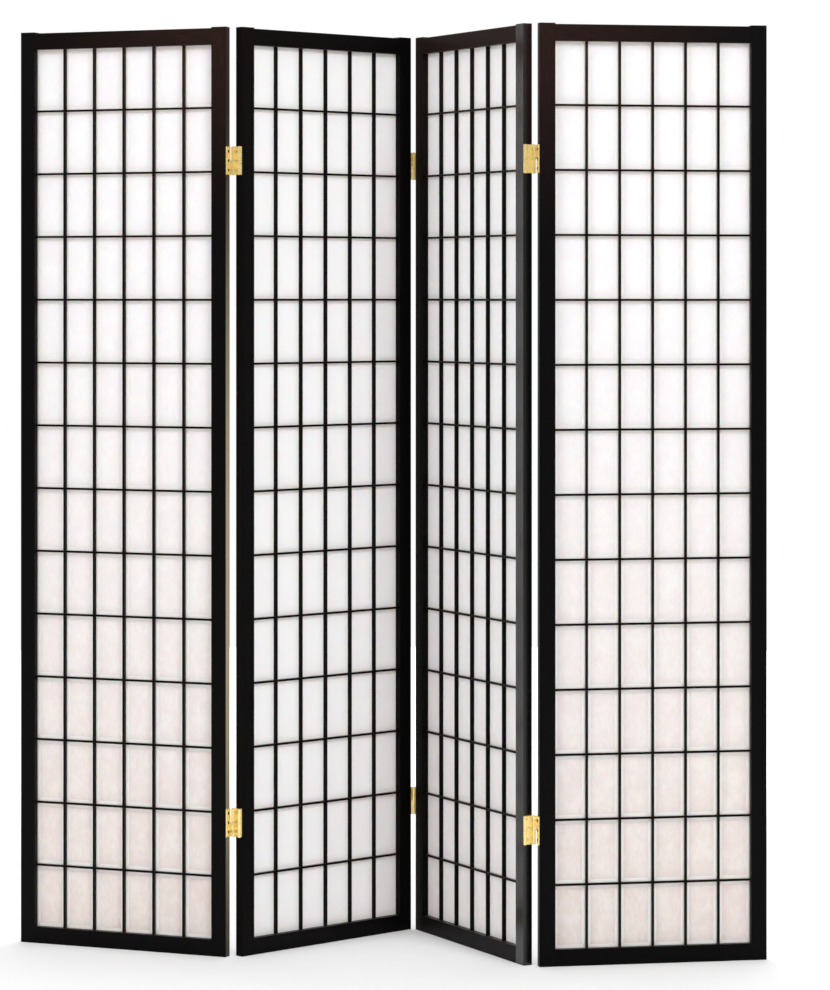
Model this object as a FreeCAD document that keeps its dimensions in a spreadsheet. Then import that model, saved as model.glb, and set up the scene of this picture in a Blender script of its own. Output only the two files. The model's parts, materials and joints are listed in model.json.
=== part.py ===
import FreeCAD, Part
import os
import re
import Sketcher
from FreeCAD import Placement, Rotation, Vector

# A four-panel folding screen. Each panel is a mortised frame of two stiles and two rails, a
# lattice of thin cross bars let flush into notched uprights, and a sheet of paper in a rebate at
# the back. Two-pin hinges join the panels, so each fold goes both ways.
#
# Every piece is drawn in its panel's own frame: X from the panel's left edge, Y from its front
# face to its back, Z up from the floor. Hinge leaves are drawn in an edge frame: X outwards from
# the edge, Y through the thickness from its middle, Z along the edge.

SIZES = (
    # the panels
    ("panel_height", 1785),
    ("panel_width", 444),
    ("panel_thickness", 19),
    ("stile_width", 31),
    ("rail_width", 32),
    ("rail_setback", 2),
    ("edge_chamfer", 1.2),
    # the joints between rail and stile
    ("tenon_length", 18),
    ("tenon_height", 20),
    ("tenon_thickness", 6),
    ("tenon_setback", 4),
    ("joint_clearance", 0.1),
    # the lattice and the paper behind it
    ("pane_columns", 6),
    ("pane_rows", 14),
    ("bar_width", 4),
    ("bar_depth", 7.5),
    ("bar_recess", 5.5),
    ("cross_bar_depth", 3.7),
    ("notch_clearance", 0.1),
    ("paper_thickness", 0.4),
    ("paper_ledge", 5),
    ("paper_clearance", 0.1),
    # the hinges
    ("hinge_height", 54),
    ("hinge_from_end", 257),
    ("leaf_thickness", 1.6),
    ("leaf_margin", 0.5),
    ("pin_offset", 6.5),
    ("pin_radius", 1.5),
    ("pin_clearance", 0.05),
    ("pin_end", 0.8),
    ("barrel_radius", 3.5),
    ("barrel_gap", 0.3),
    ("knuckle_gap", 0.4),
    # how the screen stands, in degrees
    ("second_panel_heading", 43),
    ("left_fold_angle", 65),
    ("middle_fold_angle", 105.5),
    ("right_fold_angle", 72.5),
)

OPENING_WIDTH = "(panel_width - 2 * stile_width)"
OPENING_HEIGHT = "(panel_height - rail_setback - 2 * rail_width)"
COLUMN_PITCH = "((panel_width - 2 * stile_width + bar_width) / pane_columns)"
ROW_PITCH = "((panel_height - rail_setback - 2 * rail_width + bar_width) / pane_rows)"
FIRST_BAR_X = "(stile_width + " + COLUMN_PITCH + " - bar_width)"
FIRST_BAR_Z = "(rail_width + " + ROW_PITCH + " - bar_width)"
PAPER_FACE = "(bar_recess + bar_depth)"
TOP_RAIL_FOOT = "(panel_height - rail_setback - rail_width)"
HINGE_DISTANCE = "(panel_height - 2 * hinge_from_end)"
KNUCKLE_HEIGHT = "((hinge_height - knuckle_gap) / 2)"

UP = Vector(0, 0, 1)
OUTWARDS = Vector(1, 0, 0)

doc = FreeCAD.newDocument("FoldingScreen")
sheet = doc.addObject("Spreadsheet::Sheet", "Sizes")
for row, (alias, size) in enumerate(SIZES, start=1):
    sheet.set("A%d" % row, alias)
    sheet.set("B%d" % row, str(size))
    sheet.setAlias("B%d" % row, alias)
doc.recompute()

pieces = []


def bound(formula):
    """Point each size's name in a formula at its cell."""
    return re.sub(r"[a-z][a-z_]+", r"Sizes.\g<0>", formula)


def number(formula):
    """What a formula of sizes comes to now."""
    return float(sheet.evalExpression(bound(formula)))


def new_piece(name, panel, seat=Placement()):
    """A body with its place: the panel that it belongs to, and its seat in that panel's frame."""
    body = doc.addObject("PartDesign::Body", name)
    body.Label = name
    pieces.append((body, panel, seat))
    return body


# ---- sketches -------------------------------------------------------------------------------


def sketch_on(body, role, along="0", up="0"):
    """A sketch on one of the body's own planes, moved along its normal and up its own Y."""
    sketch = body.newObject("Sketcher::SketchObject", body.Name + "_sketch")
    plane = [item for item in body.Origin.OriginFeatures if item.Role == role][0]
    sketch.AttachmentSupport = (plane, "")
    sketch.MapMode = "FlatFace"
    sketch.setExpression("AttachmentOffset.Base.z", bound(along))
    sketch.setExpression("AttachmentOffset.Base.y", bound(up))
    return sketch


def pin_down(sketch, kind, first, second, formula):
    """Tie the distance between two sketch points, or a radius, to a formula of sizes."""
    index = sketch.addConstraint(Sketcher.Constraint(kind, *first, *second, number(formula)))
    sketch.setExpression("Constraints[%d]" % index, bound(formula))


def polygon(sketch, corners):
    """A closed outline whose corners are pairs of formulas."""
    base = sketch.GeometryCount
    points = [Vector(number(x), number(y), 0) for x, y in corners]
    count = len(points)
    for index in range(count):
        line = Part.LineSegment(points[index], points[(index + 1) % count])
        sketch.addGeometry(line, False)
    for index in range(count):
        following = base + (index + 1) % count
        sketch.addConstraint(Sketcher.Constraint("Coincident", base + index, 2, following, 1))
    for index, (x, y) in enumerate(corners):
        pin_down(sketch, "DistanceX", (-1, 1), (base + index, 1), x)
        pin_down(sketch, "DistanceY", (-1, 1), (base + index, 1), y)


def rectangle(sketch, left, bottom, width, height):
    """An upright rectangle from its lower left corner and its two sizes."""
    right = left + " + " + width
    top = bottom + " + " + height
    polygon(sketch, ((left, bottom), (right, bottom), (right, top), (left, top)))


def circle(sketch, across, up, radius):
    """A circle from its centre and radius."""
    centre = Vector(number(across), number(up), 0)
    index = sketch.addGeometry(Part.Circle(centre, UP, number(radius)), False)
    pin_down(sketch, "DistanceX", (-1, 1), (index, 3), across)
    pin_down(sketch, "DistanceY", (-1, 1), (index, 3), up)
    pin_down(sketch, "Radius", (index,), (), radius)


# ---- features -------------------------------------------------------------------------------


def pad(body, sketch, length, reverse=False):
    """Solid along the sketch's normal, or against it in reverse."""
    feature = body.newObject("PartDesign::Pad", body.Name + "_pad")
    feature.Profile = sketch
    feature.Reversed = reverse
    feature.setExpression("Length", bound(length))
    body.Tip = feature
    return feature


def pocket(body, sketch, depth=None, reverse=False):
    """A cut against the sketch's normal, or along it in reverse; with no depth, right through."""
    feature = body.newObject("PartDesign::Pocket", body.Name + "_pocket")
    feature.Profile = sketch
    feature.Reversed = reverse
    if depth is None:
        feature.Type = "ThroughAll"
    else:
        feature.setExpression("Length", bound(depth))
    body.Tip = feature
    return feature


def repeat(body, features, axis, pitch, copies):
    """Copies of features in a row along one of the body's axes."""
    pattern = body.newObject("PartDesign::LinearPattern", body.Name + "_row")
    pattern.Originals = features
    line = [item for item in body.Origin.OriginFeatures if item.Role == axis][0]
    pattern.Direction = (line, [""])
    pattern.setExpression("Length", bound("%s * (%s - 1)" % (pitch, copies)))
    pattern.setExpression("Occurrences", bound(copies))
    body.Tip = pattern
    return pattern


def chamfer(body, base, wanted):
    """A chamfer on the edges of a feature whose middles pass a test."""
    doc.recompute()
    edges = []
    for index, edge in enumerate(base.Shape.Edges, start=1):
        if wanted(edge.CenterOfMass):
            edges.append("Edge%d" % index)
    feature = body.newObject("PartDesign::Chamfer", body.Name + "_chamfer")
    feature.Base = (base, edges)
    feature.setExpression("Size", bound("edge_chamfer"))
    body.Tip = feature
    return feature


# ---- the panels -----------------------------------------------------------------------------


def stile(panel, side):
    """An upright: chamfered outside, mortised for the rails, rebated for the paper."""
    body = new_piece("panel_%d_%s_stile" % (panel, side), panel)
    on_left = side == "left"
    left = "0" if on_left else "(panel_width - stile_width)"
    inner_face = "stile_width" if on_left else "panel_width - stile_width"
    ledge_left = "(stile_width - paper_ledge)" if on_left else "(panel_width - stile_width)"

    section = sketch_on(body, "XY_Plane")
    rectangle(section, left, "0", "stile_width", "panel_thickness")
    blank = pad(body, section, "panel_height")
    edge_x = 0 if on_left else number("panel_width")
    middle = number("panel_height") / 2
    chamfer(body, blank, lambda at: abs(at.x - edge_x) < 0.01 and abs(at.z - middle) < 0.01)

    rebate = sketch_on(body, "XZ_Plane", "-panel_thickness")
    ledge_height = OPENING_HEIGHT + " + 2 * paper_ledge"
    rectangle(rebate, ledge_left, "rail_width - paper_ledge", "paper_ledge", ledge_height)
    pocket(body, rebate, "panel_thickness - " + PAPER_FACE, reverse=True)

    mortises = sketch_on(body, "YZ_Plane", inner_face)
    for rail_foot in ("0", TOP_RAIL_FOOT):
        rectangle(
            mortises,
            "tenon_setback - joint_clearance",
            rail_foot + " + (rail_width - tenon_height) / 2 - joint_clearance",
            "tenon_thickness + 2 * joint_clearance",
            "tenon_height + 2 * joint_clearance",
        )
    pocket(body, mortises, "tenon_length + joint_clearance", reverse=not on_left)

    return body


def rail(panel, level):
    """A cross bar: tenoned into both stiles and rebated for the paper."""
    body = new_piece("panel_%d_%s_rail" % (panel, level), panel)
    on_top = level == "top"
    foot = TOP_RAIL_FOOT if on_top else "0"
    ledge_foot = TOP_RAIL_FOOT if on_top else "(rail_width - paper_ledge)"

    section = sketch_on(body, "YZ_Plane", "stile_width")
    rectangle(section, "0", foot, "panel_thickness", "rail_width")
    blank = pad(body, section, OPENING_WIDTH)
    if on_top:
        top = number(TOP_RAIL_FOOT + " + rail_width")
        middle = number("panel_width") / 2
        chamfer(body, blank, lambda at: abs(at.z - top) < 0.01 and abs(at.x - middle) < 0.01)

    tenon = sketch_on(body, "YZ_Plane", "stile_width - tenon_length")
    tenon_foot = foot + " + (rail_width - tenon_height) / 2"
    rectangle(tenon, "tenon_setback", tenon_foot, "tenon_thickness", "tenon_height")
    pad(body, tenon, OPENING_WIDTH + " + 2 * tenon_length")

    rebate = sketch_on(body, "XZ_Plane", "-panel_thickness")
    rectangle(rebate, "stile_width", ledge_foot, OPENING_WIDTH, "paper_ledge")
    pocket(body, rebate, "panel_thickness - " + PAPER_FACE, reverse=True)
    return body


def vertical_bars(panel):
    """The upright lattice bars, notched in front for the cross bars."""
    body = new_piece("panel_%d_vertical_bars" % panel, panel)
    section = sketch_on(body, "XY_Plane", "rail_width")
    rectangle(section, FIRST_BAR_X, "bar_recess", "bar_width", "bar_depth")
    bar = pad(body, section, OPENING_HEIGHT)
    repeat(body, [bar], "X_Axis", COLUMN_PITCH, "(pane_columns - 1)")

    outline = sketch_on(body, "YZ_Plane")
    rectangle(
        outline,
        "(bar_recess - notch_clearance)",
        FIRST_BAR_Z + " - notch_clearance",
        "cross_bar_depth + 2 * notch_clearance",
        "bar_width + 2 * notch_clearance",
    )
    notch = pocket(body, outline, reverse=True)
    repeat(body, [notch], "Z_Axis", ROW_PITCH, "(pane_rows - 1)")
    return body


def horizontal_bars(panel):
    """The cross bars, let into the uprights with their faces flush."""
    body = new_piece("panel_%d_horizontal_bars" % panel, panel)
    section = sketch_on(body, "YZ_Plane", "stile_width")
    rectangle(section, "bar_recess", FIRST_BAR_Z, "cross_bar_depth", "bar_width")
    bar = pad(body, section, OPENING_WIDTH)
    repeat(body, [bar], "Z_Axis", ROW_PITCH, "(pane_rows - 1)")
    return body


def paper(panel):
    """The sheet in the rebate, against the backs of the bars."""
    body = new_piece("panel_%d_paper" % panel, panel)
    sheet_edge = sketch_on(body, "XZ_Plane", "-" + PAPER_FACE)
    reach = "(paper_ledge - paper_clearance)"
    rectangle(
        sheet_edge,
        "stile_width - " + reach,
        "rail_width - " + reach,
        OPENING_WIDTH + " + 2 * " + reach,
        OPENING_HEIGHT + " + 2 * " + reach,
    )
    pad(body, sheet_edge, "paper_thickness", reverse=True)
    return body


# ---- the hinges -----------------------------------------------------------------------------


def edge_seat(edge, height, flipped):
    """The edge frame's place in a panel's frame, turned over end for end where it is flipped."""
    across = number("panel_width") if edge == "right" else 0
    turn = Rotation() if edge == "right" else Rotation(UP, 180)
    if flipped:
        turn = turn * Rotation(OUTWARDS, 180)
    return Placement(Vector(across, number("panel_thickness") / 2, height), turn)


def outer_leaf(name, panel, seat):
    """A leaf on a panel's edge, with one knuckle carried over the panel's face by a strap."""
    body = new_piece(name, panel, seat)
    plate = sketch_on(body, "XY_Plane", "-hinge_height / 2")
    width = "(panel_thickness - 2 * leaf_margin)"
    rectangle(plate, "0", "-" + width + " / 2", "leaf_thickness", width)
    pad(body, plate, "hinge_height")

    strap = sketch_on(body, "XY_Plane", "knuckle_gap / 2")
    strap_front = "-panel_thickness / 2 + barrel_radius - leaf_thickness"
    rectangle(strap, "0", strap_front, "pin_offset", "leaf_thickness")
    pad(body, strap, KNUCKLE_HEIGHT)

    barrel = sketch_on(body, "XY_Plane", "knuckle_gap / 2")
    circle(barrel, "pin_offset", "-panel_thickness / 2", "barrel_radius")
    pad(body, barrel, KNUCKLE_HEIGHT)

    bore = sketch_on(body, "XY_Plane")
    circle(bore, "pin_offset", "-panel_thickness / 2", "pin_radius + pin_clearance")
    pocket(body, bore, reverse=True)
    return body


def centre_leaf(name, panel, seat):
    """The leaf between the two pins, with a knuckle on each in the half that the others leave."""
    body = new_piece(name, panel, seat)
    plate = sketch_on(body, "XY_Plane", "-hinge_height / 2")
    width = "(panel_thickness - 2 * barrel_radius - 2 * barrel_gap)"
    rectangle(plate, "-leaf_thickness / 2", "-" + width + " / 2", "leaf_thickness", width)
    pad(body, plate, "hinge_height")

    web = sketch_on(body, "XY_Plane", "-hinge_height / 2")
    rectangle(web, "-leaf_thickness / 2", "-panel_thickness / 2", "leaf_thickness", "panel_thickness")
    pad(body, web, KNUCKLE_HEIGHT)

    for purpose, radius in (("barrels", "barrel_radius"), ("bores", "pin_radius + pin_clearance")):
        rounds = sketch_on(body, "XY_Plane", "-hinge_height / 2")
        for across in ("-panel_thickness / 2", "panel_thickness / 2"):
            circle(rounds, "0", across, radius)
        if purpose == "barrels":
            pad(body, rounds, KNUCKLE_HEIGHT)
        else:
            pocket(body, rounds, reverse=True)
    return body


def hinge_pins(name, panel, seat):
    """One pin in each hinge of a fold, on the same axis."""
    body = new_piece(name, panel, seat)
    section = sketch_on(body, "XY_Plane", "hinge_from_end - hinge_height / 2 - pin_end")
    circle(section, "0", "0", "pin_radius")
    pin = pad(body, section, "hinge_height + 2 * pin_end")
    repeat(body, [pin], "Z_Axis", HINGE_DISTANCE, "2")
    return body


def hinges(fold, front_panel, front_edge, back_panel, back_edge, link_panel, link_edge):
    """Both hinges of a fold. The centre leaves stand against one panel's edge."""
    flipped = front_edge == "left"
    span = number("pin_offset")
    across = number("panel_width") + span if link_edge == "right" else -span
    thickness = number("panel_thickness")
    heights = {
        "lower": number("hinge_from_end"),
        "upper": number("panel_height") - number("hinge_from_end"),
    }
    for level, height in heights.items():
        stem = "%s_fold_%s_" % (fold, level)
        outer_leaf(stem + "front_leaf", front_panel, edge_seat(front_edge, height, flipped))
        outer_leaf(stem + "back_leaf", back_panel, edge_seat(back_edge, height, flipped))
        turn = Rotation(OUTWARDS, 180) if flipped else Rotation()
        middle = Placement(Vector(across, thickness / 2, height), turn)
        centre_leaf(stem + "centre_leaf", link_panel, middle)
    front_axis = Placement(Vector(across, 0, 0), Rotation())
    back_axis = Placement(Vector(across, thickness, 0), Rotation())
    hinge_pins(fold + "_fold_front_pins", link_panel, front_axis)
    hinge_pins(fold + "_fold_back_pins", link_panel, back_axis)
    return front_axis, back_axis


# ---- the screen -----------------------------------------------------------------------------

for panel_number in (1, 2, 3, 4):
    stile(panel_number, "left")
    stile(panel_number, "right")
    rail(panel_number, "top")
    rail(panel_number, "bottom")
    vertical_bars(panel_number)
    horizontal_bars(panel_number)
    paper(panel_number)

# the front pins belong to the panel named first, the back pins to the second; the last two
# values say whose edge the centre leaves lie against while the screen stands as drawn
link_axes = {
    "left": (2,) + hinges("left", 2, "left", 1, "right", 2, "left"),
    "middle": (3,) + hinges("middle", 2, "right", 3, "left", 3, "left"),
    "right": (3,) + hinges("right", 3, "right", 4, "left", 3, "right"),
}
doc.recompute()


def turned_to(heading, pin, own_pin):
    """A panel's place: its own pin point on a pin, its width turned to a heading."""
    return Placement(pin, Rotation(UP, heading)) * Placement(own_pin * -1, Rotation())


def panel_places():
    """Where the four panels stand, chained from the second panel by the hinge pins."""
    width = number("panel_width")
    offset = number("pin_offset")
    thickness = number("panel_thickness")
    left_front = Vector(-offset, 0, 0)
    left_back = Vector(-offset, thickness, 0)
    right_front = Vector(width + offset, 0, 0)
    right_back = Vector(width + offset, thickness, 0)
    second = number("second_panel_heading")
    third = second - number("middle_fold_angle")
    places = {2: Placement(Vector(), Rotation(UP, second))}
    first = second - number("left_fold_angle")
    places[1] = turned_to(first, places[2].multVec(left_back), right_back)
    places[3] = turned_to(third, places[2].multVec(right_front), left_front)
    fourth = third + number("right_fold_angle")
    places[4] = turned_to(fourth, places[3].multVec(right_back), left_back)
    return places


# the origin is on the floor, under the middle of the whole screen's box
places = panel_places()
whole = FreeCAD.BoundBox()
for body, panel_number, seat in pieces:
    moved = body.Shape.copy()
    moved.Placement = places[panel_number] * seat
    whole.add(moved.optimalBoundingBox(False))
to_origin = Placement(Vector(-whole.Center.x, -whole.Center.y, -whole.ZMin), Rotation())
for body, panel_number, seat in pieces:
    body.Placement = to_origin * places[panel_number] * seat
doc.recompute()

for item in doc.Objects:
    if {"Invalid", "Error"} & set(item.State):
        raise RuntimeError("%s is %s" % (item.Name, item.State))

os.makedirs("parts", exist_ok=True)
for body, panel_number, seat in pieces:
    if body.Shape.isNull() or not body.Shape.isValid():
        raise RuntimeError(body.Label + " has no valid shape")
    volume = 0
    for feature in body.Group:
        if feature.TypeId == "Sketcher::SketchObject":
            continue
        if abs(feature.Shape.Volume - volume) < 0.001:
            raise RuntimeError("%s in %s changes nothing" % (feature.Name, body.Label))
        volume = feature.Shape.Volume
    body.Shape.exportStep("parts/%s.step" % body.Label)

print("nodes %d, box %.2f x %.2f x %.2f mm" % (
    len(pieces), whole.XLength, whole.YLength, whole.ZLength))
for fold, (panel_number, front_axis, back_axis) in link_axes.items():
    for side, axis in (("front", front_axis), ("back", back_axis)):
        at = (to_origin * places[panel_number] * axis).Base
        print("pin %s %s %.4f %.4f" % (fold, side, at.x, at.y))
for panel_number, place in places.items():
    at = (to_origin * place).Base
    print("panel %d %.4f %.4f heading %.3f" % (
        panel_number, at.x, at.y, place.Rotation.toEuler()[0]))
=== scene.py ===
import json
import math

import bmesh
import bpy
import numpy as np
from bpy.props import FloatProperty, FloatVectorProperty, PointerProperty
from mathutils import Euler, Matrix, Vector


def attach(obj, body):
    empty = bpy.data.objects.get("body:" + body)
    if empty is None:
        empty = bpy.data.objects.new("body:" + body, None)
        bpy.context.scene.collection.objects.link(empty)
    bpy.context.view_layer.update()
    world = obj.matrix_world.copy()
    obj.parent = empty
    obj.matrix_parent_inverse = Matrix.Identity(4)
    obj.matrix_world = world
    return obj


bl_info = {
    "name": "Shoji Folding Screen",
    "version": (1, 0, 0),
    "blender": (4, 5, 0),
    "location": "View3D > Sidebar > Folding Screen",
    "description": "Finishes a four-panel folding screen and sets its studio",
    "category": "Object",
}

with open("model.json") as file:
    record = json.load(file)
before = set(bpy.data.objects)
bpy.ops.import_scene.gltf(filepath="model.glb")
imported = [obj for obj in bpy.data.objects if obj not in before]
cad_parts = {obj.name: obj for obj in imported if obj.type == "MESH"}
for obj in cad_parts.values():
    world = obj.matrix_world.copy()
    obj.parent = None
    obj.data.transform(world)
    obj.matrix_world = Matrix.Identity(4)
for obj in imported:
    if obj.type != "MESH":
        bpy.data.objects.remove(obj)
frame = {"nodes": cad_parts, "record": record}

PANELS = (1, 2, 3, 4)
LEVELS = ("lower", "upper")
# each fold's front-pin leaf is on the first panel and its back-pin leaf on the second, with the
# edge that each leaf is screwed to
FOLDS = {
    "left": ((2, "left"), (1, "right")),
    "middle": ((2, "right"), (3, "left")),
    "right": ((3, "right"), (4, "left")),
}
MM = 0.001


# ---- where the pieces are -------------------------------------------------------------------


def corners_of(node):
    """A node's vertices at rest, in metres."""
    mesh = frame["nodes"][node].data
    points = np.empty(len(mesh.vertices) * 3)
    mesh.vertices.foreach_get("co", points)
    return points.reshape(-1, 3)


def panel_place(panel):
    """A panel's own frame, read from its solids: X along its width, Y to its back, Z up."""
    paper = corners_of("panel_%d_paper" % panel)[:, :2]
    _, axes = np.linalg.eigh(np.cov(paper.T))
    along = axes[:, 1] * (1 if axes[0, 1] > 0 else -1)
    heading = math.atan2(along[1], along[0])
    stile = corners_of("panel_%d_left_stile" % panel)
    back = np.array((-along[1], along[0]))
    left = (stile[:, :2] @ along).min()
    front = (stile[:, :2] @ back).min()
    corner = along * left + back * front
    return Vector((corner[0], corner[1], 0)), heading


PLACES = {panel: panel_place(panel) for panel in PANELS}


def panel_matrix(panel):
    """From a panel's own frame to the shared frame."""
    corner, heading = PLACES[panel]
    return Matrix.Translation(corner) @ Matrix.Rotation(heading, 4, "Z")


def panel_box(panel, node):
    """A node's lowest and highest corners in its panel's own frame."""
    turn = np.array(panel_matrix(panel).inverted())
    points = corners_of(node) @ turn[:3, :3].T + turn[:3, 3]
    return points.min(axis=0), points.max(axis=0)


LOW, HIGH = panel_box(2, "panel_2_left_stile")
STILE_WIDTH = float(HIGH[0] - LOW[0])
THICKNESS = float(HIGH[1] - LOW[1])
HEIGHT = float(HIGH[2] - LOW[2])
PANEL_WIDTH = float(panel_box(2, "panel_2_right_stile")[1][0])
BAR_LOW, BAR_HIGH = panel_box(2, "panel_2_vertical_bars")
RAIL_TOP = float(BAR_LOW[2])
OPENING_TOP = float(BAR_HIGH[2])
BAR_WIDTH = 4 * MM
PANE_COLUMNS = 6
PANE_ROWS = 14
COLUMN_PITCH = (PANEL_WIDTH - 2 * STILE_WIDTH + BAR_WIDTH) / PANE_COLUMNS
ROW_PITCH = (OPENING_TOP - RAIL_TOP + BAR_WIDTH) / PANE_ROWS
LEAF = 1.6 * MM
ARRIS = 0.5 * MM

# ---- how the finishes and their painted light are spread over a panel -------------------------

# how much painted brown sheen, a painted reflection, each panel has at its top, at its left and at
# its right
PAINTED_SHEEN_TOPS = {1: (0.0, 1.0), 2: (0.08, 0.0), 3: (0.55, 0.75), 4: (1.0, 0.0)}
# the painted sheen grows from the first height above the floor to full at the second
PAINTED_SHEEN_HEIGHTS = (HEIGHT - 0.42, HEIGHT + 0.02)
# painted light per panel: how much of the warm tone low down each sheet has, and how white it is
# higher up, whiter and less warm on the panels lit more brightly, so one paper comes in lit and
# shaded copies
PAINTED_LIGHT_WARM_SHEETS = {1: 1.0, 2: 0.0, 3: 0.5, 4: 1.0}
PAINTED_LIGHT_WHITE_SHEETS = {1: 0.95, 2: 1.08, 3: 1.07, 4: 0.95}
# the paper loses its warm tone from the first height to the second
WARM_HEIGHTS = (-0.2, 1.5)
# the white margin beside a bar ends between these distances from it
MARGIN_END = (5.2 * MM, 7.2 * MM)

LACQUER_SHADER = {
    "Specular IOR Level": 0.06,
    "Sheen Weight": 0.09,
    "Sheen Roughness": 0.35,
    "Sheen Tint": (0.80, 0.62, 0.52, 1),
}
LACQUER_BUMP = (0.22, 0.3 * MM)
PAPER_SHADER = {
    "Specular IOR Level": 0.2,
    "Sheen Weight": 0.15,
    "Subsurface Weight": 0.25,
    "Subsurface Scale": 2 * MM,
}
PAPER_BUMP = (0.35, 0.5 * MM)
STEEL_TARNISH = (0.2, 0.18, 0.15)


# ---- settings -------------------------------------------------------------------------------


def tint(name, description, red, green, blue):
    """A colour that the user can change."""
    return FloatVectorProperty(
        name=name, description=description, subtype="COLOR", size=3, min=0, max=1,
        default=(red, green, blue))


class ScreenFinish(bpy.types.PropertyGroup):
    lacquer: tint("Lacquer", "The black lacquer", 0.0019, 0.0014, 0.0015)
    # a painted brown sheen, standing for a reflection high on the frames
    lacquer_painted_sheen: tint("Painted sheen", "Painted brown sheen on the lacquer", 0.030, 0.013, 0.010)
    # a tan band down the middle of the first panel's outer edge, fading out low and high
    edge_band: tint("Edge band", "A tan band down the first panel's edge", 0.46, 0.385, 0.24)
    paper_top: tint("Paper above", "The paper in the upper panes", 0.92, 0.905, 0.94)
    paper_foot: tint("Paper below", "The paper in the lower panes", 0.765, 0.70, 0.665)
    # partly painted light: the margin is bright enough to cancel the bars' soft shadows on the
    # paper
    paper_edge: tint("Paper margin", "The paper beside the bars", 0.965, 0.965, 0.955)
    # painted shade: the bar's shadow seen through the paper from behind
    paper_bar_shadow: tint("Painted bar shadow", "The paper over a bar, painted dark as the bar's shadow", 0.62, 0.59, 0.57)
    brass: tint("Brass", "The hinge leaves", 1.0, 0.80, 0.33)
    tarnish: tint("Tarnish", "The dark patches on the brass", 0.60, 0.36, 0.07)
    # painted shade: the screw heads are near black, standing for their shadowed recesses
    screw: tint("Screw", "The screw heads, painted dark for their shade", 0.045, 0.024, 0.006)
    steel: tint("Steel", "The hinge pins", 0.60, 0.55, 0.46)
    screw_head: FloatProperty(
        name="Screw head", description="Radius of a screw's head", default=3 * MM,
        unit="LENGTH", min=1 * MM)
    screw_rise: FloatProperty(
        name="Screw rise", description="How far a screw's head is domed", default=0.7 * MM,
        unit="LENGTH", min=0.1 * MM)
    screw_spacing: FloatProperty(
        name="Screw spacing", description="From one screw of a leaf to the next",
        default=18 * MM, unit="LENGTH", min=8 * MM)


class ScreenStudio(bpy.types.PropertyGroup):
    floor_radius: FloatProperty(
        name="Floor radius", description="How far the floor reaches", default=6,
        unit="LENGTH", min=2)
    left_energy: FloatProperty(
        name="Left light", description="Power of the light on the left", default=82,
        unit="POWER", min=0)
    right_energy: FloatProperty(
        name="Right light", description="Power of the light on the right", default=114,
        unit="POWER", min=0)
    top_energy: FloatProperty(
        name="Top light", description="Power of the light above", default=98,
        unit="POWER", min=0)
    camera_lens: FloatProperty(
        name="Lens", description="Focal length in millimetres", default=130.84, min=20)
    camera_height: FloatProperty(
        name="Camera height", description="Above the floor", default=1.2689,
        unit="LENGTH", min=0)
    camera_shift: FloatProperty(
        name="Camera shift", description="How far the picture is moved down", default=-0.2014)


# ---- shader parts ---------------------------------------------------------------------------


# what each of the surface groups puts out
SURFACE_OUTPUTS = (
    ("Color", "NodeSocketColor"),
    ("Roughness", "NodeSocketFloat"),
    ("Height", "NodeSocketFloat"),
)


def new_group(name, inputs, outputs):
    """A shader node group with its named sockets, its tree and its two ends."""
    tree = bpy.data.node_groups.new(name, "ShaderNodeTree")
    for socket, kind, value in inputs:
        made = tree.interface.new_socket(socket, in_out="INPUT", socket_type=kind)
        if value is not None:
            made.default_value = value
    for socket, kind in outputs:
        tree.interface.new_socket(socket, in_out="OUTPUT", socket_type=kind)
    start = tree.nodes.new("NodeGroupInput")
    end = tree.nodes.new("NodeGroupOutput")
    return tree, start, end


def maths(tree, operation, first, second=None, third=None, clamp=False):
    """A Math node whose inputs are sockets or numbers; returns its output."""
    node = tree.nodes.new("ShaderNodeMath")
    node.operation = operation
    node.use_clamp = clamp
    for index, value in enumerate((first, second, third)):
        if value is None:
            continue
        if isinstance(value, (int, float)):
            node.inputs[index].default_value = value
        else:
            tree.links.new(value, node.inputs[index])
    return node.outputs[0]


def ramp(tree, value, low, high):
    """0 below low, 1 above high, smooth between."""
    node = tree.nodes.new("ShaderNodeMapRange")
    node.interpolation_type = "SMOOTHSTEP"
    tree.links.new(value, node.inputs["Value"])
    node.inputs["From Min"].default_value = low
    node.inputs["From Max"].default_value = high
    return node.outputs["Result"]


def blend_colour(tree, amount, first, second):
    """A colour mix whose amount is a socket and whose colours are sockets or values."""
    node = tree.nodes.new("ShaderNodeMix")
    node.data_type = "RGBA"
    tree.links.new(amount, node.inputs["Factor"])
    for socket, value in (("A", first), ("B", second)):
        target = [item for item in node.inputs if item.name == socket and item.type == "RGBA"][0]
        if isinstance(value, tuple):
            target.default_value = (*value, 1)
        else:
            tree.links.new(value, target)
    return [item for item in node.outputs if item.type == "RGBA"][0]


def noise(tree, vector, scale, detail=3.0, roughness=0.5, stretch=(1, 1, 1)):
    """Noise on a stretched copy of a vector; returns its value."""
    mapping = tree.nodes.new("ShaderNodeMapping")
    mapping.inputs["Scale"].default_value = stretch
    tree.links.new(vector, mapping.inputs["Vector"])
    node = tree.nodes.new("ShaderNodeTexNoise")
    node.inputs["Scale"].default_value = scale
    node.inputs["Detail"].default_value = detail
    node.inputs["Roughness"].default_value = roughness
    tree.links.new(mapping.outputs[0], node.inputs["Vector"])
    return node.outputs["Fac"]


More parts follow.
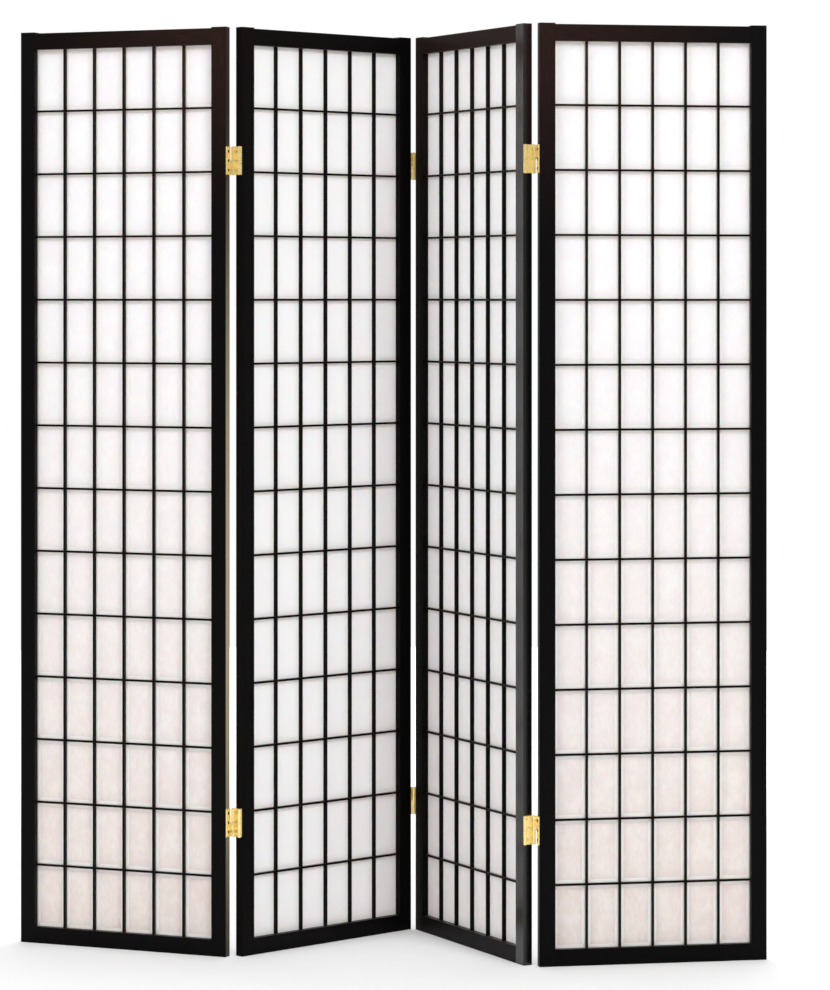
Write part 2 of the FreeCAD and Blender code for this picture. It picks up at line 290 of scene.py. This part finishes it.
def lacquer_group():
    """Black lacquer brushed along the wood's grain, with a painted brown sheen towards the top."""
    tree, start, end = new_group(
        "Brushed lacquer",
        (
            ("Vector", "NodeSocketVector", None),
            ("Place", "NodeSocketVector", None),
            ("Lacquer", "NodeSocketColor", (0, 0, 0, 1)),
            ("Painted sheen", "NodeSocketColor", (0, 0, 0, 1)),
            ("Painted sheen at left", "NodeSocketFloat", 0.5),
            ("Painted sheen at right", "NodeSocketFloat", 0.5),
        ),
        SURFACE_OUTPUTS,
    )
    vector = start.outputs["Vector"]
    grain = noise(tree, vector, 9.0, 5.0, 0.6, stretch=(60, 60, 3))
    clouds = noise(tree, vector, 4.0, 2.0)
    split = tree.nodes.new("ShaderNodeSeparateXYZ")
    tree.links.new(start.outputs["Place"], split.inputs[0])
    height = ramp(tree, split.outputs["Z"], *PAINTED_SHEEN_HEIGHTS)
    across = ramp(tree, split.outputs["X"], -0.05, PANEL_WIDTH + 0.02)
    streaks = maths(tree, "MULTIPLY_ADD", ramp(tree, grain, 0.45, 0.72), 0.45, 0.55)
    right = maths(tree, "MULTIPLY", across, start.outputs["Painted sheen at right"])
    left = maths(tree, "SUBTRACT", 1, across)
    side = maths(tree, "MULTIPLY_ADD", left, start.outputs["Painted sheen at left"], right)
    # the painted brown sheen: high up, streaked along the grain, weighted from the panel's left
    # amount to its right amount
    painted_sheen = maths(tree, "MULTIPLY", streaks, maths(tree, "MULTIPLY", height, side), clamp=True)
    colour = blend_colour(tree, painted_sheen, start.outputs["Lacquer"], start.outputs["Painted sheen"])
    gloss = maths(tree, "MULTIPLY_ADD", clouds, 0.14, 0.26)
    gloss = maths(tree, "MULTIPLY_ADD", grain, 0.08, gloss)
    tree.links.new(colour, end.inputs["Color"])
    tree.links.new(gloss, end.inputs["Roughness"])
    tree.links.new(grain, end.inputs["Height"])
    return tree


def paper_group():
    """Mulberry paper: clouds and fibres, warmer low down, whiter beside the bars where it is glued
    and where painted light cancels the bars' shadows, and painted dark over the bars.
    """
    tree, start, end = new_group(
        "Mulberry paper",
        (
            ("Vector", "NodeSocketVector", None),
            ("Above", "NodeSocketColor", (1, 1, 1, 1)),
            ("Below", "NodeSocketColor", (1, 1, 1, 1)),
            ("Margin", "NodeSocketColor", (1, 1, 1, 1)),
            ("Bar shadow", "NodeSocketColor", (1, 1, 1, 1)),
            ("Warmth", "NodeSocketFloat", 1.0),
        ),
        SURFACE_OUTPUTS,
    )
    vector = start.outputs["Vector"]
    split = tree.nodes.new("ShaderNodeSeparateXYZ")
    tree.links.new(vector, split.inputs[0])
    climb = ramp(tree, split.outputs["Z"], *WARM_HEIGHTS)
    fall = maths(tree, "SUBTRACT", 1, climb)
    warmth = maths(tree, "MULTIPLY", fall, start.outputs["Warmth"])
    body = blend_colour(tree, warmth, start.outputs["Above"], start.outputs["Below"])

    clouds = noise(tree, vector, 28.0, 4.0, 0.62)
    fibres = noise(tree, vector, 170.0, 5.0, 0.7, stretch=(1, 1, 0.45))
    strands = tree.nodes.new("ShaderNodeTexWave")
    strands.wave_type = "BANDS"
    strands.inputs["Scale"].default_value = 12
    strands.inputs["Distortion"].default_value = 26
    strands.inputs["Detail"].default_value = 4
    tree.links.new(vector, strands.inputs["Vector"])
    thread = ramp(tree, strands.outputs["Fac"], 0.93, 1.0)
    mottle = maths(tree, "MULTIPLY_ADD", clouds, 0.5, maths(tree, "MULTIPLY", fibres, 0.5))
    shade = maths(tree, "MULTIPLY", ramp(tree, mottle, 0.40, 0.62), 0.30)

    # the distance to the nearest bar, across and up, in metres
    gaps = []
    for axis, start_at, pitch in (
        ("X", STILE_WIDTH, COLUMN_PITCH),
        ("Z", RAIL_TOP, ROW_PITCH),
    ):
        along = maths(tree, "SUBTRACT", split.outputs[axis], start_at)
        turn = maths(tree, "FRACT", maths(tree, "DIVIDE", along, pitch))
        metres = maths(tree, "MULTIPLY", turn, pitch)
        other_side = maths(tree, "SUBTRACT", pitch - BAR_WIDTH, metres)
        gaps.append(maths(tree, "MINIMUM", metres, other_side))
    nearest = maths(tree, "MINIMUM", gaps[0], gaps[1])
    wander = maths(tree, "MULTIPLY_ADD", fibres, 0.002, maths(tree, "SUBTRACT", nearest, 0.001))
    inside = ramp(tree, wander, *MARGIN_END)
    # over a bar the paper is painted dark: painted shade for the bar's shadow seen through the
    # sheet from behind
    beside_bar = ramp(tree, nearest, -0.9 * MM, 0.1 * MM)

    tinted = blend_colour(tree, shade, body, start.outputs["Margin"])
    outside_bar_shadow = blend_colour(tree, inside, start.outputs["Margin"], tinted)
    finished = blend_colour(tree, beside_bar, start.outputs["Bar shadow"], outside_bar_shadow)
    tree.links.new(finished, end.inputs["Color"])
    tree.links.new(maths(tree, "MULTIPLY_ADD", clouds, 0.15, 0.78), end.inputs["Roughness"])
    uneven = maths(tree, "MULTIPLY_ADD", clouds, 1.4, fibres)
    relief = maths(tree, "MULTIPLY_ADD", thread, 0.25, uneven)
    tree.links.new(relief, end.inputs["Height"])
    return tree


def metal_group():
    """Rolled brass or steel: drawn lines, dull patches and small dents."""
    tree, start, end = new_group(
        "Rolled metal",
        (
            ("Vector", "NodeSocketVector", None),
            ("Metal", "NodeSocketColor", (1, 1, 1, 1)),
            ("Tarnish", "NodeSocketColor", (0, 0, 0, 1)),
        ),
        SURFACE_OUTPUTS,
    )
    vector = start.outputs["Vector"]
    patches = noise(tree, vector, 120.0, 3.0, 0.55)
    lines = noise(tree, vector, 60.0, 3.0, 0.5, stretch=(1, 1, 22))
    dull = ramp(tree, patches, 0.52, 0.74)
    colour = blend_colour(
        tree, maths(tree, "MULTIPLY", dull, 0.6), start.outputs["Metal"], start.outputs["Tarnish"])
    tree.links.new(colour, end.inputs["Color"])
    tree.links.new(maths(tree, "MULTIPLY_ADD", dull, 0.2, 0.24), end.inputs["Roughness"])
    tree.links.new(maths(tree, "MULTIPLY_ADD", lines, 0.5, patches), end.inputs["Height"])
    return tree


def shared_group(name, build):
    """A node group by name, built the first time it is asked for."""
    return bpy.data.node_groups.get(name) or build()


def own_coordinates(tree, panel):
    """Object coordinates turned into a panel's own frame."""
    coordinates = tree.nodes.new("ShaderNodeTexCoord")
    mapping = tree.nodes.new("ShaderNodeMapping")
    mapping.vector_type = "TEXTURE"
    corner, heading = PLACES[panel]
    mapping.inputs["Location"].default_value = corner
    mapping.inputs["Rotation"].default_value = (0, 0, heading)
    tree.links.new(coordinates.outputs["Object"], mapping.inputs["Vector"])
    return mapping.outputs[0]


def coordinates_of(panel):
    """The call that gives a material its panel's own coordinates."""

    def place(tree):
        return own_coordinates(tree, panel)

    return place


def grouped_material(name, group, vector_of, inputs, bump, shader_values):
    """A material whose colour, roughness and bump come from one shared group."""
    material = bpy.data.materials.new(name)
    material.use_nodes = True
    tree = material.node_tree
    shader = tree.nodes["Principled BSDF"]
    for socket, value in shader_values.items():
        shader.inputs[socket].default_value = value
    part = tree.nodes.new("ShaderNodeGroup")
    part.node_tree = group
    tree.links.new(vector_of(tree), part.inputs["Vector"])
    for socket, value in inputs.items():
        part.inputs[socket].default_value = value if isinstance(value, float) else (*value, 1)
    tree.links.new(part.outputs["Color"], shader.inputs["Base Color"])
    tree.links.new(part.outputs["Roughness"], shader.inputs["Roughness"])
    strength, distance = bump
    relief = tree.nodes.new("ShaderNodeBump")
    relief.inputs["Strength"].default_value = strength
    relief.inputs["Distance"].default_value = distance
    tree.links.new(part.outputs["Height"], relief.inputs["Height"])
    tree.links.new(relief.outputs[0], shader.inputs["Normal"])
    return material, part, shader


def plain_coordinates(tree):
    """Object coordinates as they are."""
    return tree.nodes.new("ShaderNodeTexCoord").outputs["Object"]


def lying(vector_of):
    """The same coordinates with X and Z exchanged, for wood whose grain runs across."""

    def turned(tree):
        split = tree.nodes.new("ShaderNodeSeparateXYZ")
        joined = tree.nodes.new("ShaderNodeCombineXYZ")
        tree.links.new(vector_of(tree), split.inputs[0])
        for source, target in (("X", "Z"), ("Y", "Y"), ("Z", "X")):
            tree.links.new(split.outputs[source], joined.inputs[target])
        return joined.outputs[0]

    return turned


def finish_node(node, material):
    """Give a solid one material all over."""
    mesh = frame["nodes"][node].data
    mesh.materials.clear()
    mesh.materials.append(material)


def soften(node, width):
    """Round a solid's arrises a little, as sanding and lacquer do."""
    piece = frame["nodes"][node]
    weld = piece.modifiers.new("Join facets", "WELD")
    weld.merge_threshold = 0.01 * MM
    bevel = piece.modifiers.new("Soft arrises", "BEVEL")
    bevel.width = width
    bevel.segments = 2
    bevel.limit_method = "ANGLE"
    bevel.angle_limit = math.radians(40)


# ---- the pieces -----------------------------------------------------------------------------


def lacquer(name, panel, across, finish):
    """One panel's lacquer, with the grain up the stiles or across along the rails."""
    place = coordinates_of(panel)
    # each panel's amounts of painted sheen at its top left and top right
    left, right = PAINTED_SHEEN_TOPS[panel]
    material, part, shader = grouped_material(
        name, shared_group("Brushed lacquer", lacquer_group),
        lying(place) if across else place,
        {"Lacquer": finish.lacquer, "Painted sheen": finish.lacquer_painted_sheen,
         "Painted sheen at left": left, "Painted sheen at right": right},
        LACQUER_BUMP, LACQUER_SHADER)
    material.node_tree.links.new(place(material.node_tree), part.inputs["Place"])
    return material, part, shader


def plain_lacquer(panel, across, finish):
    """The lacquer that one panel's pieces share, built the first time it is asked for."""
    name = "Lacquer %d %s" % (panel, "across" if across else "upright")
    return bpy.data.materials.get(name) or lacquer(name, panel, across, finish)[0]


def banded_edge_lacquer(finish):
    """The first panel's right stile: a tan band down the middle of its outer edge, fading out low
    and high.
    """
    material, part, shader = lacquer("Lacquer 1 banded edge", 1, False, finish)
    tree = material.node_tree
    split = tree.nodes.new("ShaderNodeSeparateXYZ")
    tree.links.new(own_coordinates(tree, 1), split.inputs[0])
    outside = ramp(tree, split.outputs["X"], PANEL_WIDTH - 0.5 * MM, PANEL_WIDTH - 0.1 * MM)
    low = ramp(tree, split.outputs["Z"], -0.15, 0.65)
    high = maths(tree, "SUBTRACT", 1, ramp(tree, split.outputs["Z"], 0.75, 1.68))
    amount = maths(tree, "MULTIPLY", outside, maths(tree, "MULTIPLY", low, high))
    colour = blend_colour(tree, amount, part.outputs["Color"], tuple(finish.edge_band))
    tree.links.new(colour, shader.inputs["Base Color"])
    return material


def glossy_lacquer(finish):
    """The third panel's right stile: its face shines where it faces the second panel's paper."""
    material, _, shader = lacquer("Lacquer 3 glossy", 3, False, finish)
    shader.inputs["Coat Weight"].default_value = 1.0
    shader.inputs["Coat Roughness"].default_value = 0.22
    return material


class SCREEN_OT_frames(bpy.types.Operator):
    """Lacquer the stiles and rails and soften their arrises"""

    bl_idname = "screen.frames"
    bl_label = "Finish Frames"

    def execute(self, context):
        finish = context.scene.screen_finish
        for panel in PANELS:
            for piece, across in (
                ("left_stile", False), ("right_stile", False),
                ("top_rail", True), ("bottom_rail", True),
            ):
                node = "panel_%d_%s" % (panel, piece)
                finish_node(node, plain_lacquer(panel, across, finish))
                soften(node, ARRIS)
        finish_node("panel_1_right_stile", banded_edge_lacquer(finish))
        finish_node("panel_3_right_stile", glossy_lacquer(finish))
        return {"FINISHED"}


class SCREEN_OT_lattice(bpy.types.Operator):
    """Lacquer the bars of the lattice"""

    bl_idname = "screen.lattice"
    bl_label = "Finish Lattice"

    def execute(self, context):
        finish = context.scene.screen_finish
        for panel in PANELS:
            finish_node("panel_%d_vertical_bars" % panel, plain_lacquer(panel, False, finish))
            finish_node("panel_%d_horizontal_bars" % panel, plain_lacquer(panel, True, finish))
        return {"FINISHED"}


class SCREEN_OT_paper(bpy.types.Operator):
    """Give each panel its sheet of translucent paper"""

    bl_idname = "screen.paper"
    bl_label = "Finish Paper"

    def execute(self, context):
        finish = context.scene.screen_finish
        group = shared_group("Mulberry paper", paper_group)
        for panel in PANELS:
            # each sheet's whiteness is scaled by its panel's painted light
            above = tuple(min(part * PAINTED_LIGHT_WHITE_SHEETS[panel], 1) for part in finish.paper_top)
            material, _, _ = grouped_material(
                "Paper %d" % panel, group, coordinates_of(panel),
                {"Above": above,
                 "Below": finish.paper_foot,
                 "Margin": finish.paper_edge, "Bar shadow": finish.paper_bar_shadow,
                 "Warmth": PAINTED_LIGHT_WARM_SHEETS[panel]},
                PAPER_BUMP, PAPER_SHADER)
            finish_node("panel_%d_paper" % panel, material)
        return {"FINISHED"}


def metal(name, colour, tarnish, bump, metallic):
    """One of the hinges' metals, built the first time it is asked for."""
    found = bpy.data.materials.get(name)
    if found:
        return found
    return grouped_material(
        name, shared_group("Rolled metal", metal_group), plain_coordinates,
        {"Metal": colour, "Tarnish": tarnish}, bump, {"Metallic": metallic})[0]


class SCREEN_OT_hinges(bpy.types.Operator):
    """Brass for the hinge leaves and steel for their pins"""

    bl_idname = "screen.hinges"
    bl_label = "Finish Hinges"

    def execute(self, context):
        finish = context.scene.screen_finish
        steel = metal("Steel pin", finish.steel, STEEL_TARNISH, (0.15, 0.1 * MM), 1.0)
        brass = metal("Brass", finish.brass, finish.tarnish, (0.12, 0.05 * MM), 0.6)
        for fold in FOLDS:
            for level in LEVELS:
                for leaf in ("front_leaf", "back_leaf", "centre_leaf"):
                    finish_node("%s_fold_%s_%s" % (fold, level, leaf), brass)
            for side in ("front", "back"):
                finish_node("%s_fold_%s_pins" % (fold, side), steel)
        return {"FINISHED"}


def spin_head(piece, finish, turn):
    """One domed head with a hollow for the driver, spun from half its outline."""
    head, rise = finish.screw_head, finish.screw_rise
    outline = (
        (0, -0.15 * rise), (head, -0.15 * rise), (head, 0.1 * rise), (0.97 * head, 0.4 * rise),
        (0.8 * head, 0.75 * rise), (0.6 * head, rise), (0.52 * head, 0.95 * rise),
        (0.42 * head, 0.3 * rise), (0, 0.25 * rise),
    )
    points = [piece.verts.new(turn @ Vector((radius, 0, height))) for radius, height in outline]
    edges = [piece.edges.new(pair) for pair in zip(points, points[1:])]
    bmesh.ops.spin(
        piece, geom=points + edges, cent=turn.translation, axis=turn.to_3x3() @ Vector((0, 0, 1)),
        dvec=(0, 0, 0), angle=math.tau, steps=20, use_merge=True)


def screw_heads(name, panel, edge, leaf, finish):
    """The domed heads of the screws through one fold's leaves into one panel's edge."""
    piece = bmesh.new()
    outwards = 1 if edge == "right" else -1
    face = PANEL_WIDTH + LEAF if edge == "right" else -LEAF
    turn_out = Matrix.Rotation(outwards * math.pi / 2, 4, "Y")
    for level in LEVELS:
        low, high = panel_box(panel, "%s_fold_%s_%s" % (leaf[0], level, leaf[1]))
        middle = (low[2] + high[2]) / 2
        for place in (-1, 0, 1):
            at = Vector((face, THICKNESS / 2, middle + place * finish.screw_spacing))
            spin_head(piece, finish, panel_matrix(panel) @ Matrix.Translation(at) @ turn_out)
    bmesh.ops.remove_doubles(piece, verts=piece.verts, dist=0.001 * MM)
    bmesh.ops.recalc_face_normals(piece, faces=piece.faces)
    mesh = bpy.data.meshes.new(name)
    piece.to_mesh(mesh)
    piece.free()
    # the screws' near-black colour is painted shade; the tarnish patches on it are the metal's own
    mesh.materials.append(metal(
        "Shade-dark screw", finish.screw, finish.tarnish, (0.15, 0.05 * MM), 0.9))
    made = bpy.data.objects.new(name, mesh)
    bpy.context.scene.collection.objects.link(made)
    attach(made, "panel_%d" % panel)


class SCREEN_OT_screws(bpy.types.Operator):
    """Screw the hinge leaves to the panels' edges"""

    bl_idname = "screen.screws"
    bl_label = "Add Screws"

    def execute(self, context):
        finish = context.scene.screen_finish
        for fold, ends in FOLDS.items():
            for (panel, edge), leaf in zip(ends, ("front_leaf", "back_leaf")):
                screw_heads("%s_fold_%s_screws" % (fold, leaf), panel, edge, (fold, leaf), finish)
        return {"FINISHED"}


# ---- the studio -----------------------------------------------------------------------------

# the light of the surroundings in front, and behind and above
FRONT_GREY = 0.36
BACK_GREY = 0.66
# the floor glows, for the camera only, brightening to white between these distances from the
# middle
FLOOR_FADE = (1.2, 3.0)
LIT_POINT = (0, 0, 0.9)
# the camera's place from the middle fold's front pins, to the right and to the front
CAMERA_RIGHT = 0.00247
CAMERA_FRONT = 7.21205


def area_light(name, energy, size, place, target):
    """A round soft light that faces its target."""
    light = bpy.data.lights.new(name, "AREA")
    light.energy = energy
    light.shape = "DISK"
    light.size = size
    lamp = bpy.data.objects.new(name, light)
    lamp.location = place
    lamp.rotation_euler = (Vector(target) - Vector(place)).to_track_quat("-Z", "Y").to_euler()
    bpy.context.scene.collection.objects.link(lamp)


def white_surroundings():
    """White to the camera; for lighting, dimmer in front than behind and above."""
    world = bpy.data.worlds.new("White studio")
    bpy.context.scene.world = world
    world.use_nodes = True
    tree = world.node_tree
    seen = tree.nodes["Background"]
    seen.inputs["Color"].default_value = (1, 1, 1, 1)
    lighting = tree.nodes.new("ShaderNodeBackground")
    direction = tree.nodes.new("ShaderNodeTexCoord")
    split = tree.nodes.new("ShaderNodeSeparateXYZ")
    tree.links.new(direction.outputs["Generated"], split.inputs[0])
    behind = ramp(tree, split.outputs["Y"], -0.75, 0.25)
    above = ramp(tree, split.outputs["Z"], 0.15, 0.7)
    shade = blend_colour(
        tree, maths(tree, "MAXIMUM", behind, above), (FRONT_GREY,) * 3, (BACK_GREY,) * 3)
    tree.links.new(shade, lighting.inputs["Color"])
    path = tree.nodes.new("ShaderNodeLightPath")
    mix = tree.nodes.new("ShaderNodeMixShader")
    tree.links.new(path.outputs["Is Camera Ray"], mix.inputs[0])
    tree.links.new(lighting.outputs[0], mix.inputs[1])
    tree.links.new(seen.outputs[0], mix.inputs[2])
    tree.links.new(mix.outputs[0], tree.nodes["World Output"].inputs["Surface"])


def pale_floor_material():
    """A pale matt floor that glows for the camera away from the screen, brightening to the white
    of the surroundings.
    """
    pale = bpy.data.materials.new("Pale floor")
    pale.use_nodes = True
    tree = pale.node_tree
    shader = tree.nodes["Principled BSDF"]
    shader.inputs["Base Color"].default_value = (0.95, 0.95, 0.95, 1)
    shader.inputs["Roughness"].default_value = 0.9
    shader.inputs["Specular IOR Level"].default_value = 0.05
    shader.inputs["Emission Color"].default_value = (1, 1, 1, 1)
    length = tree.nodes.new("ShaderNodeVectorMath")
    length.operation = "LENGTH"
    tree.links.new(plain_coordinates(tree), length.inputs[0])
    far = ramp(tree, length.outputs["Value"], *FLOOR_FADE)
    path = tree.nodes.new("ShaderNodeLightPath")
    tree.links.new(
        maths(tree, "MULTIPLY", far, path.outputs["Is Camera Ray"]),
        shader.inputs["Emission Strength"])
    return pale


class SCREEN_OT_stage(bpy.types.Operator):
    """Lay a pale floor, hang soft lights and set the camera"""

    bl_idname = "screen.stage"
    bl_label = "Set Stage"

    def execute(self, context):
        studio = context.scene.screen_studio
        context.scene.view_settings.view_transform = "Standard"
        ground = bmesh.new()
        bmesh.ops.create_circle(ground, cap_ends=True, segments=96, radius=studio.floor_radius)
        mesh = bpy.data.meshes.new("pale_floor")
        ground.to_mesh(mesh)
        ground.free()
        floor = bpy.data.objects.new("pale_floor", mesh)
        context.scene.collection.objects.link(floor)
        mesh.materials.append(pale_floor_material())

        white_surroundings()
        area_light("Left", studio.left_energy, 2.4, (-3.45, -3.2, 4.1), LIT_POINT)
        area_light("Right", studio.right_energy, 2.4, (2.35, -4.05, 4.1), LIT_POINT)
        area_light("Top", studio.top_energy, 3.0, (0.2, 1.4, 4.6), LIT_POINT)

        # the camera stands level, square to the room, a little right of the middle
        front_pin = fold_pin("middle_fold_front_hinge")
        view = bpy.data.cameras.new("Photograph")
        view.lens = studio.camera_lens
        view.sensor_width = 36
        view.shift_y = studio.camera_shift
        view.clip_end = 60
        camera = bpy.data.objects.new("Photograph", view)
        camera.location = (
            front_pin.x + CAMERA_RIGHT, front_pin.y - CAMERA_FRONT, studio.camera_height)
        camera.rotation_euler = Euler((math.radians(90), 0, 0))
        context.scene.collection.objects.link(camera)
        context.scene.camera = camera
        return {"FINISHED"}


def fold_pin(name):
    """Where a hinge pin stands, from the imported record."""
    joints = frame["record"]["behaviour"]["joints"]
    return Vector([joint for joint in joints if joint["name"] == name][0]["pos_m"])


class SCREEN_PT_panel(bpy.types.Panel):
    """The folding screen's pieces and settings"""

    bl_idname = "SCREEN_PT_panel"
    bl_label = "Folding Screen"
    bl_space_type = "VIEW_3D"
    bl_region_type = "UI"
    bl_category = "Folding Screen"

    def draw(self, context):
        for name in ("screen_finish", "screen_studio"):
            settings = getattr(context.scene, name)
            for key in settings.bl_rna.properties.keys():
                if key not in ("rna_type", "name"):
                    self.layout.prop(settings, key)
        for operator in OPERATORS:
            self.layout.operator(operator.bl_idname)


OPERATORS = (
    SCREEN_OT_frames,
    SCREEN_OT_lattice,
    SCREEN_OT_paper,
    SCREEN_OT_hinges,
    SCREEN_OT_screws,
    SCREEN_OT_stage,
)
CLASSES = (ScreenFinish, ScreenStudio, *OPERATORS, SCREEN_PT_panel)


def register():
    for item in CLASSES:
        bpy.utils.register_class(item)
    bpy.types.Scene.screen_finish = PointerProperty(type=ScreenFinish)
    bpy.types.Scene.screen_studio = PointerProperty(type=ScreenStudio)


def unregister():
    del bpy.types.Scene.screen_studio
    del bpy.types.Scene.screen_finish
    for item in reversed(CLASSES):
        bpy.utils.unregister_class(item)


def main():
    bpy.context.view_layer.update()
    register()
    bpy.ops.screen.frames()
    bpy.ops.screen.lattice()
    bpy.ops.screen.paper()
    bpy.ops.screen.hinges()
    bpy.ops.screen.screws()
    bpy.ops.screen.stage()


if __name__ == "__main__":
    main()
